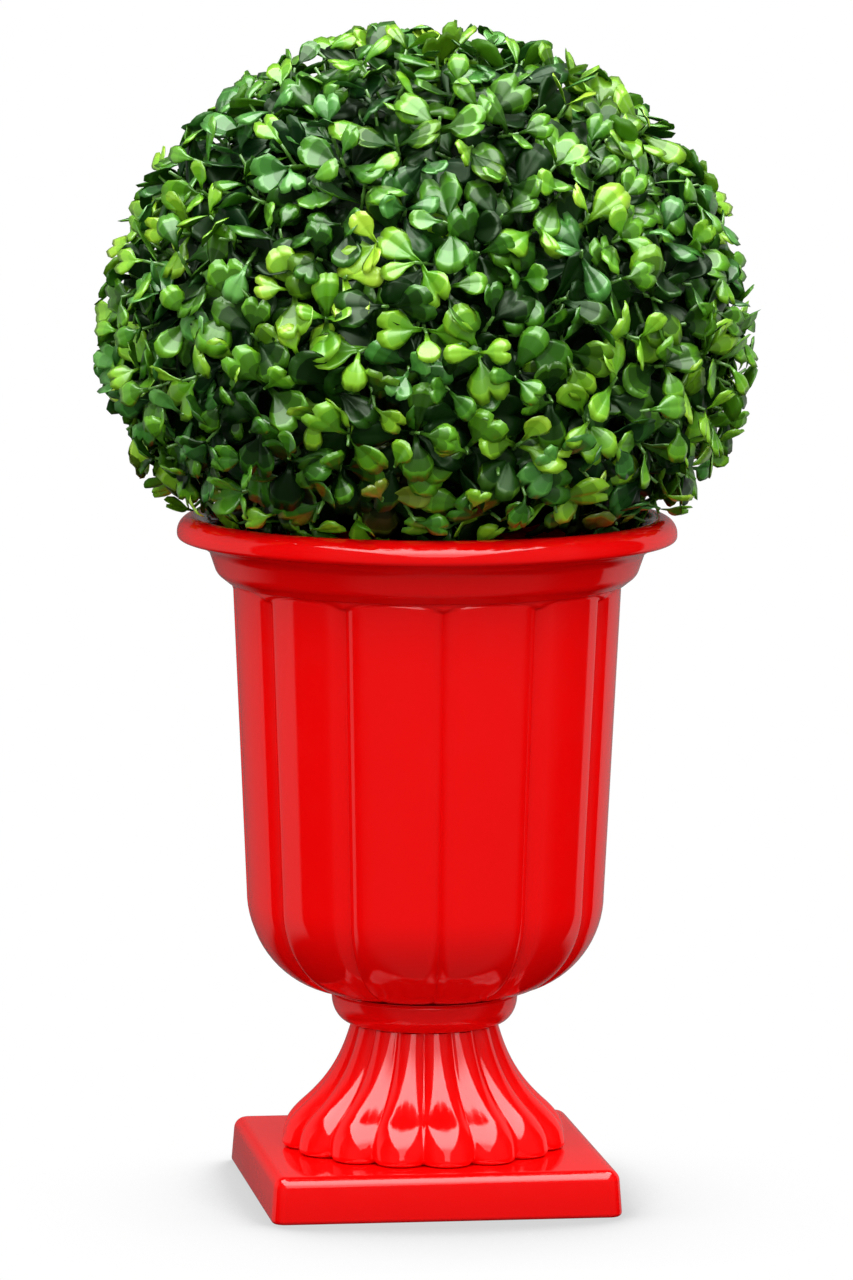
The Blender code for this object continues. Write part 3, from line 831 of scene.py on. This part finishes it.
def make_stem(material, rng):
    """The short stem, with furrows that wander up its bark."""
    length = STEM_TOP - FILL_TOP
    profile = [(0.0, FILL_TOP + CLEARANCE)]
    for share in levels(0.0, 1.0, STEM_RINGS):
        flare = STEM_FLARE * (1.0 - min(share / STEM_FLARE_SHARE, 1.0)) ** 2
        radius = STEM_RADIUS + (STEM_TIP_RADIUS - STEM_RADIUS) * share + flare
        profile.append((radius, FILL_TOP + CLEARANCE + length * share))
    profile.append((0.0, FILL_TOP + CLEARANCE + length))
    shape = turned(profile, STEM_SIDES)
    waves = [
        (rng.randint(*BARK_WAVE_TURNS), rng.uniform(*BARK_WAVE_RISES), rng.uniform(*WAVE_STARTS))
        for _ in range(BARK_WAVES)
    ]
    for vertex in shape.verts:
        radius = vertex.co.xy.length
        if radius < MERGE_DISTANCE:
            continue
        angle = math.atan2(vertex.co.y, vertex.co.x)
        ripple = sum(
            math.sin(turns * angle + rise * vertex.co.z + start) for turns, rise, start in waves
        )
        depth = BARK_RELIEF * (0.5 - 0.5 * math.tanh(ripple))
        vertex.co.x *= 1.0 - depth / radius
        vertex.co.y *= 1.0 - depth / radius
    add_shape("trunk", shape, material, "stem", "stem_wood")


# ---- the ball's space


def ball_reach(direction):
    """The distance from the ball's centre to its clipped outline in a direction."""
    height = BALL_RISE if direction.z > 0.0 else BALL_DROP
    across = direction.xy.length_squared / BALL_RADIUS ** 2
    return 1.0 / math.sqrt(across + direction.z ** 2 / height ** 2)


def keeps_clear(points):
    """True where all points keep to the ball and have room over the rim or well inside it."""
    level = points[:, 2] - BALL_CENTRE
    radius = np.hypot(points[:, 0], points[:, 1])
    height = np.where(level > 0.0, BALL_RISE, BALL_DROP)
    if np.any((radius / BALL_RADIUS) ** 2 + (level / height) ** 2 > 1.0):
        return False
    to_rim = np.hypot(radius - RIM_CENTRE_RADIUS, points[:, 2] - RIM_HEIGHT)
    over = points[:, 2] > RIM_HEIGHT + RIM_TUBE_RADIUS + RIM_GAP
    inside = (radius < RIM_CENTRE_RADIUS) & (points[:, 2] > COLLAR_TOP)
    inside |= radius < BOWL_MOUTH_RADIUS - LEAF_ROOM
    return bool(np.all(over | inside) and to_rim.min() > RIM_TUBE_RADIUS + LEAF_ROOM)


def golden_directions(count):
    """Even directions over the ball, down to where the rim hides it."""
    golden_turn = math.pi * (3.0 - math.sqrt(5.0))
    for index in range(count):
        height = 1.0 - 2.0 * (index + 0.5) / count
        if height < LOWEST_SPRAY:
            return
        radius = math.sqrt(1.0 - height * height)
        angle = index * golden_turn
        yield Vector((radius * math.cos(angle), radius * math.sin(angle), height))


def frame_along(origin, along, upper):
    """A placement whose X runs along a direction and whose Z leans to the upper side."""
    x_axis = along.normalized()
    y_axis = upper.cross(x_axis).normalized()
    z_axis = x_axis.cross(y_axis)
    turn = Matrix((x_axis, y_axis, z_axis)).transposed().to_4x4()
    return Matrix.Translation(origin) @ turn


def opened(axis, side, degrees):
    """A direction that opens from the twig's axis towards one side."""
    angle = math.radians(degrees)
    return math.cos(angle) * axis + math.sin(angle) * side


def turned_side(axis, rng):
    """A direction square to an axis, at any turn round it."""
    side = axis.orthogonal().normalized()
    side.rotate(Matrix.Rotation(rng.uniform(0.0, 2.0 * math.pi), 3, axis))
    return side


# ---- leaves and twigs


def leaf_outline(half, lobed, along, spread):
    """A point of a flat leaf of unit length: along from root to tip, spread from -1 to 1."""
    corner = 1.0 - half
    side = corner * along
    opening = min(max((side - LEAF_STALK_END) / (corner - LEAF_STALK_END), 0.0), 1.0)
    width = LEAF_STALK + (half - LEAF_STALK) * math.sin(0.5 * math.pi * opening) ** LEAF_BASE_POWER
    round_tip = math.sqrt(1.0 - spread * spread)
    two_lobes = math.sqrt(1.0 - (2.0 * abs(spread) - 1.0) ** 2)
    bulge = half * (round_tip + lobed * (LEAF_LOBE_HEIGHT * two_lobes - round_tip))
    return side + bulge * along * along, width * spread


def bent(point, spread, along, half, bend):
    """A flat leaf's point after folding, puffing, cupping and curling."""
    fold, puff, cup, curl = bend
    spread = abs(spread)
    rise = fold * spread + puff * math.sin(math.pi * spread) ** 2 + cup * spread ** 2
    height = point.z + half * along * rise
    turn = curl * point.x
    return Vector((
        math.sin(turn) / curl + height * math.sin(turn),
        point.y,
        (math.cos(turn) - 1.0) / curl + height * math.cos(turn),
    ))


def leaf_slot(row, column):
    """The slot of a leaf's face by its row from the root and its column from the midrib."""
    margin = column == len(LEAF_SPREADS) - 2 and row > 1
    return LEAF_ROW_TONES[row] + (LEAF_MARGIN_TONES if margin else 0)


def as_arrays(shape):
    """A bmesh as arrays of points, faces and slots. The bmesh is freed."""
    shape.verts.index_update()
    points = np.array([vertex.co[:] for vertex in shape.verts])
    faces = np.array([[vertex.index for vertex in face.verts] for face in shape.faces])
    slots = np.array([face.material_index for face in shape.faces])
    shape.free()
    return points, faces, slots


def leaf_shape(half, lobed, bend):
    """One leaf: a closed lens whose tones run from root to margin."""
    rows = len(LEAF_STATIONS) - 1
    columns = len(LEAF_SPREADS) - 1
    shape = bmesh.new()
    bmesh.ops.create_grid(shape, x_segments=rows, y_segments=2 * columns, size=0.5)
    for face in shape.faces:
        middle = face.calc_center_median()
        row = int((middle.x + 0.5) * rows)
        face.material_index = leaf_slot(row, int(abs(middle.y) * 2 * columns))
    back = bmesh.ops.duplicate(shape, geom=shape.faces[:])["geom"]
    back_faces = [item for item in back if isinstance(item, bmesh.types.BMFace)]
    back_points = {item for item in back if isinstance(item, bmesh.types.BMVert)}
    for face in back_faces:
        face.material_index = LEAF_TONES
    bmesh.ops.reverse_faces(shape, faces=back_faces)
    for vertex in shape.verts:
        along = LEAF_STATIONS[round((vertex.co.x + 0.5) * rows)]
        column = round(abs(vertex.co.y) * 2 * columns)
        spread = math.copysign(LEAF_SPREADS[column], vertex.co.y)
        level = 0.5 * LEAF_THICKNESS if 0.0 < along < 1.0 and abs(spread) < 1.0 else 0.0
        flat_x, flat_y = leaf_outline(half, lobed, along, spread)
        flat = Vector((flat_x, flat_y, -level if vertex in back_points else level))
        vertex.co = bent(flat, spread, along, half, bend)
    bmesh.ops.remove_doubles(shape, verts=shape.verts, dist=MERGE_DISTANCE)
    return as_arrays(shape)


def twig_shape():
    """A twig of unit length along +X: six-sided and tapered, with two knots."""
    shape = bmesh.new()
    lying = Matrix.Rotation(math.radians(90.0), 4, "Y") @ Matrix.Translation((0.0, 0.0, 0.5))
    bmesh.ops.create_cone(
        shape, cap_ends=True, segments=TWIG_SIDES, radius1=TWIG_RADIUS,
        radius2=TWIG_TIP_RADIUS, depth=1.0, matrix=lying,
    )
    for knot in TWIG_KNOTS:
        for step in (-TWIG_KNOT_HALF, 0.0, TWIG_KNOT_HALF):
            geom = shape.verts[:] + shape.edges[:] + shape.faces[:]
            place = (knot + step, 0.0, 0.0)
            bmesh.ops.bisect_plane(shape, geom=geom, plane_co=place, plane_no=(1.0, 0.0, 0.0))
    for vertex in shape.verts:
        if min(abs(vertex.co.x - knot) for knot in TWIG_KNOTS) < 0.5 * TWIG_KNOT_HALF:
            vertex.co.y *= TWIG_KNOT_GIRTH
            vertex.co.z *= TWIG_KNOT_GIRTH
    bmesh.ops.triangulate(shape, faces=shape.faces)
    bmesh.ops.recalc_face_normals(shape, faces=shape.faces)
    return as_arrays(shape)


def moved(points, matrix):
    """An array of points after a placement."""
    return points @ np.array(matrix.to_3x3()).T + np.array(matrix.translation)


def joined(name, shape_of, placements, materials):
    """One mesh from many placed copies, built from arrays. Each copy is (shape, matrix, tone)."""
    points, faces, slots = [], [], []
    count = 0
    for shape_name, matrix, tone in placements:
        shape_points, shape_faces, shape_slots = shape_of[shape_name]
        points.append(moved(shape_points, matrix))
        faces.append(shape_faces + count)
        toned = np.clip(shape_slots + tone, 0, LEAF_TONES - 1)
        slots.append(np.where(shape_slots < LEAF_TONES, toned, shape_slots))
        count += len(shape_points)
    mesh = bpy.data.meshes.new(name)
    mesh.from_pydata(np.concatenate(points).tolist(), [], np.concatenate(faces).tolist())
    for material in materials:
        mesh.materials.append(material)
    mesh.polygons.foreach_set("material_index", np.concatenate(slots).astype(np.int32))
    mesh.shade_smooth()
    mesh.update()
    return mesh


def proxy_points(length, half):
    """The six corners of a flat diamond that stands for a leaf when room is tested."""
    reach = PROXY_SCALE * length
    width = PROXY_SCALE * half * length
    depth = 0.5 * PROXY_THICKNESS * length
    middle = PROXY_MIDDLE * reach
    start = PROXY_START * reach
    corners = (
        (start, 0.0, 0.0), (middle, width, 0.0), (reach, 0.0, 0.0),
        (middle, -width, 0.0), (middle, 0.0, depth), (middle, 0.0, -depth),
    )
    return [Vector(corner) for corner in corners]


PROXY_EDGES = ((0, 1), (1, 2), (2, 3), (3, 0))
PROXY_FACES = [(second, first, 4) for first, second in PROXY_EDGES]
PROXY_FACES += [(first, second, 5) for first, second in PROXY_EDGES]


class Neighbours:
    """The leaves grown so far, kept in cells so that only the near ones are tested."""

    def __init__(self):
        self.cells = {}

    def cell(self, point):
        """The key of the cell that a point lies in."""
        return tuple(math.floor(value / NEIGHBOUR_CELL) for value in point)

    def add(self, corners):
        """Keeps a leaf by its corners."""
        self.cells.setdefault(self.cell(corners[4]), []).append(corners)

    def near(self, point):
        """A search tree of the leaves in the cells round a point."""
        home = self.cell(point)
        points, faces = [], []
        for shift in np.ndindex(3, 3, 3):
            key = tuple(home[axis] + shift[axis] - 1 for axis in range(3))
            for corners in self.cells.get(key, ()):
                first = len(points)
                points += corners
                faces += [tuple(first + index for index in face) for face in PROXY_FACES]
        return BVHTree.FromPolygons(points, faces) if faces else None


def grow_leaf(root, axis, side, opening, size, kind, points, rng, neighbours):
    """The placement of one leaf that has room, tried a few times, or None."""
    half = LEAF_KINDS[kind][1]
    tree = neighbours.near(root)
    for _ in range(LEAF_TRIES):
        swing = axis.cross(side) * rng.uniform(-LEAF_SWING, LEAF_SWING)
        play = rng.uniform(-OPENING_PLAY, OPENING_PLAY)
        along = opened(axis, (side + swing).normalized(), opening + play)
        length = LEAF_LENGTH * size * (1.0 - rng.uniform(0.0, LEAF_SHRINK))
        roll = Matrix.Rotation(math.radians(rng.uniform(-LEAF_ROLL, LEAF_ROLL)), 4, "X")
        placement = frame_along(root, along, axis) @ roll
        scaled = placement @ Matrix.Scale(length, 4)
        if not keeps_clear(moved(points, scaled)):
            continue
        corners = [placement @ point for point in proxy_points(length, half)]
        if tree is None or not BVHTree.FromPolygons(corners, PROXY_FACES).overlap(tree):
            neighbours.add(corners)
            return scaled
    return None


def picked(shares, rng):
    """An index drawn by its share."""
    draw = rng.random() * sum(shares)
    for index, share in enumerate(shares):
        draw -= share
        if draw < 0.0:
            return index
    return len(shares) - 1


def main_twigs(rng):
    """For each spray: its direction, foot on the core, axis and fork."""
    centre = Vector((0.0, 0.0, BALL_CENTRE))
    sprays = []
    for direction in golden_directions(SPRAYS):
        axis = opened(direction, turned_side(direction, rng), rng.uniform(0.0, SPRAY_TILT))
        foot = centre + direction * (ball_reach(direction) - CORE_DEPTH - TWIG_ROOT_DEPTH)
        fork = foot + axis * (TWIG_ROOT_DEPTH + FORK_HEIGHT * CORE_DEPTH)
        sprays.append((direction, foot, axis, fork))
    return sprays


def stretched(start, along, length, upper, girth):
    """A twig's placement for joined."""
    thick = Matrix.Diagonal((length, girth, girth, 1.0))
    return "twig", frame_along(start, along, upper) @ thick, 0


def grow_shoot(tip, axis, tone, shapes, rng, neighbours):
    """The leaves of one shoot, pair by pair down from its tip, and a side of its last pair."""
    leaves = []
    side = turned_side(axis, rng)
    for level, (below, opening, size) in enumerate(LEAF_PAIRS):
        root = tip - axis * below
        for sign in (1.0, -1.0):
            kind = picked([item[3] for item in LEAF_KINDS], rng)
            bend = rng.randrange(len(LEAF_BENDS))
            # The pair's tone pales the young tip pairs and paints shade on the inner pairs.
            leaf_tone_and_shade = rng.choice(LEAF_TONE_PLAY) + tone + PAIR_TINTS_AND_SHADE[level]
            shape = f"{LEAF_KINDS[kind][0]} {bend}"
            matrix = grow_leaf(
                root, axis, sign * side, opening, size, kind, shapes[shape][0], rng, neighbours
            )
            if matrix is not None:
                leaves.append((shape, matrix, leaf_tone_and_shade))
        side = axis.cross(side)
    return leaves, side


def grow_crown(shapes, rng):
    """Placements of all twigs and, by family, of all leaves, each as (shape, matrix, tone)."""
    sprays = main_twigs(rng)
    twigs = [
        stretched(foot, axis, (fork - foot).length, turned_side(axis, rng), MAIN_TWIG_GIRTH)
        for _, foot, axis, fork in sprays
    ]
    leaves = {family: [] for family in LEAF_GREENS}
    families = list(LEAF_GREENS)
    shares = [LEAF_GREENS[family][-1] for family in families]
    centre = Vector((0.0, 0.0, BALL_CENTRE))
    neighbours = Neighbours()
    for direction in golden_directions(SHOOTS):
        fork = max(sprays, key=lambda spray: spray[0].dot(direction))[-1]
        play = turned_side(direction, rng) * rng.uniform(0.0, SHOOT_PLAY)
        tip = centre + direction * (ball_reach(direction) - rng.uniform(*SHOOT_DEPTHS)) + play
        family = families[picked(shares, rng)]
        if family == "bronze" and direction.z > BRONZE_TOP:
            family = "fresh"
        tone = rng.choice(SHOOT_TONES)
        axis = (direction + SHOOT_LEAN * (tip - fork).normalized()).normalized()
        axis = opened(axis, turned_side(axis, rng), rng.uniform(0.0, SHOOT_TILT))
        grown, side = grow_shoot(tip, axis, tone, shapes, rng, neighbours)
        leaves[family] += grown
        if not grown or not keeps_clear(np.array([tip])):
            continue
        knee = tip - axis * LEAF_PAIRS[-1][0]
        for start, end, girth in zip((fork, knee), (knee, tip), SHOOT_GIRTHS):
            along = end - start
            twigs.append(stretched(start, along, along.length, side, girth))
    return twigs, leaves


def core_shape(rng):
    """The ball's dark inside: its outline made smaller by the sprays' depth, and lumpy."""
    shape = bmesh.new()
    bmesh.ops.create_icosphere(shape, subdivisions=CORE_SUBDIVISIONS, radius=1.0)
    waves = []
    for _ in range(CORE_WAVES):
        wave = Vector((rng.gauss(0.0, 1.0), rng.gauss(0.0, 1.0), rng.gauss(0.0, 1.0)))
        waves.append((wave * CORE_WAVE_TURNS, rng.uniform(*WAVE_STARTS)))
    for vertex in shape.verts:
        direction = vertex.co.normalized()
        lump = sum(math.sin(wave.dot(direction) + start) for wave, start in waves) / len(waves)
        vertex.co = direction * (ball_reach(direction) - CORE_DEPTH + CORE_LUMPS * lump)
        vertex.co.z += BALL_CENTRE
    return shape


def make_crown():
    """The ball: a dark core, twigs and five families of leaves."""
    rng = random.Random(SEED)
    part = ("crown_leaves", "boxwood_leaves")
    add_shape("crown_core", core_shape(rng), shaded_core_finish(), *part)
    shapes = {"twig": twig_shape()}
    for kind, half, lobed, _ in LEAF_KINDS:
        for index, bend in enumerate(LEAF_BENDS):
            shapes[f"{kind} {index}"] = leaf_shape(half, lobed, bend)
    twigs, leaves = grow_crown(shapes, rng)
    twig_green = leaf_finish("twig green", TWIG_GREEN, LEAF_COATS[1], TWIG_ROUGHNESS)
    mesh = joined("crown_twigs", shapes, twigs, [twig_green])
    add_piece("crown_twigs", mesh, *part)
    for family, placements in leaves.items():
        name = f"crown_{family}_leaves"
        mesh = joined(name, shapes, placements, leaf_palette(family))
        add_piece(name, mesh, *part)


# ---- studio


def studio_point(turn, rise, distance):
    """A point of the studio seen from the camera's target."""
    across = distance * math.cos(math.radians(rise))
    return Vector(CAMERA_TARGET) + Vector((
        across * math.sin(math.radians(turn)),
        -across * math.cos(math.radians(turn)),
        distance * math.sin(math.radians(rise)),
    ))


def make_camera():
    """The scene's camera, with a long lens that looks a little down."""
    lens = bpy.data.cameras.new("camera")
    lens.lens = CAMERA_LENS
    lens.sensor_width = CAMERA_SENSOR
    lens.clip_end = CAMERA_REACH
    camera = linked("camera", lens)
    place = studio_point(CAMERA_TURN, CAMERA_RISE, CAMERA_DISTANCE)
    look = (Vector(CAMERA_TARGET) - place).to_track_quat("-Z", "Y").to_matrix().to_4x4()
    roll = Matrix.Rotation(math.radians(CAMERA_ROLL), 4, "Z")
    camera.matrix_world = Matrix.Translation(place) @ look @ roll
    bpy.context.scene.camera = camera


def make_lamp(name, strength, mirrored):
    """A wide lamp overhead that fades to the front, for gloss alone or for all but gloss."""
    shading = surface(name)
    fade = (0.0 - shading.part(shading.place(), "Y")).ramp(*LAMP_FADE)
    colour = shading.mix(fade, WHITE, (LAMP_FAR, LAMP_FAR, LAMP_FAR))
    material = shading.finish({"Color": colour, "Strength": strength}, "ShaderNodeEmission")
    shape = bmesh.new()
    bmesh.ops.create_grid(shape, x_segments=1, y_segments=1, size=1.0)
    length = 0.5 * (LAMP_FRONT + LAMP_BACK)
    bmesh.ops.scale(shape, vec=(LAMP_HALF_WIDTH, length, 1.0), verts=shape.verts)
    bmesh.ops.translate(shape, vec=(0.0, LAMP_BACK - length, LAMP_HEIGHT), verts=shape.verts)
    swivel(shape, LAMP_TURN)
    lamp = linked(name, mesh_of(name, shape, material))
    lamp.visible_camera = False
    lamp.visible_shadow = False
    lamp.visible_glossy = mirrored
    lamp.visible_diffuse = not mirrored


def make_room():
    """Even light, stronger from the front and sides. Gloss sees a dim room with paler walls."""
    world = bpy.data.worlds.new("room")
    bpy.context.scene.world = world
    shading = Shading(world)
    ray = shading.node("ShaderNodeLightPath", output="Is Camera Ray")
    glossy = shading.node("ShaderNodeLightPath", output="Is Glossy Ray")
    direction = shading.node("ShaderNodeTexCoord", output="Generated")
    level = shading.vector("MULTIPLY", direction, (1.0, 1.0, 0.0))
    level = shading.vector("NORMALIZE", level)
    turn = math.radians(ROOM_TURN)
    ahead = (math.sin(turn), -math.cos(turn), 0.0)
    front = shading.vector("DOT_PRODUCT", level, ahead, output="Value")
    side = ((1.0 + front) / (1.0 + WALL_EDGES[1])) ** WALL_SIDE_POWER
    wall = WALL_BACK_STRENGTH + (WALL_SIDE_STRENGTH - WALL_BACK_STRENGTH) * side
    wall = wall * (1.0 - front.ramp(*WALL_EDGES))
    rise = shading.part(direction, "Z")
    wall = wall * rise.ramp(*WALL_HEIGHTS[:2]) * (1.0 - rise.ramp(*WALL_HEIGHTS[2:]))
    mirrored = wall + ROOM_STRENGTH * front.ramp(*ROOM_EDGES)
    light = SKY_STRENGTH + FILL_STRENGTH * front.ramp(0.0, 1.0)
    light = light + SIDE_STRENGTH * (1.0 - front * front)
    strength = ray + (1.0 - ray) * (glossy * mirrored + (1.0 - glossy) * light)
    inputs = {"Color": (*WHITE, 1.0), "Strength": strength}
    shading.finish(inputs, "ShaderNodeBackground", "ShaderNodeOutputWorld")
    world.cycles.sampling_method = "NONE"


def make_floor():
    """A plain pale round floor, with painted shade where something stands close over it."""
    shading = surface("floor")
    camera = shading.node("ShaderNodeLightPath", output="Is Camera Ray")
    lean = shading.vector("NORMALIZE", (0.0, FLOOR_SHADE_LEAN, 1.0))
    inputs = {"Distance": FLOOR_SHADE_REACH, "Normal": lean}
    settings = {"samples": FLOOR_SHADE_SAMPLES}
    # Painted contact shadow: the floor's glow dims where ambient occlusion finds something close.
    open_air = shading.node("ShaderNodeAmbientOcclusion", settings, inputs, "AO")
    closed = (1.0 - open_air).at_most(FLOOR_SHADE_MOST)
    glow = FLOOR_GLOW * (1.0 - FLOOR_SHADE * closed ** FLOOR_SHADE_POWER)
    strength = FLOOR_BOUNCE + (glow - FLOOR_BOUNCE) * camera
    material = shading.finish({"Strength": strength}, "ShaderNodeEmission")
    shape = bmesh.new()
    bmesh.ops.create_circle(shape, cap_ends=True, radius=FLOOR_RADIUS, segments=FLOOR_SEGMENTS)
    floor = linked("floor", mesh_of("floor", shape, material))
    floor.visible_glossy = False


# ---- the scene

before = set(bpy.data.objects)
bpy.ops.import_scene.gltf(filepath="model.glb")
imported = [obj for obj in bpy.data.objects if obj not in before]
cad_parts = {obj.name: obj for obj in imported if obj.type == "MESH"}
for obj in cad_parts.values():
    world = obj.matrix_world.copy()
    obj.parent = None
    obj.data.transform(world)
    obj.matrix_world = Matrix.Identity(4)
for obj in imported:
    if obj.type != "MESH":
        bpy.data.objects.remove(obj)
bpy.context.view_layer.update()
bpy.context.scene.view_settings.view_transform = "Standard"
make_camera()
make_room()
make_lamp("soft_lamp", LAMP_STRENGTH, False)
make_lamp("sheen_lamp", SHEEN_STRENGTH, True)
make_floor()
red = plastic_red()
make_plinth(red)
make_foot(red)
make_neck_ring(red)
make_bowl(red)
make_filling(filling_finish(), random.Random(SEED + 1))
make_stem(bark_finish(), random.Random(SEED + 2))
make_crown()
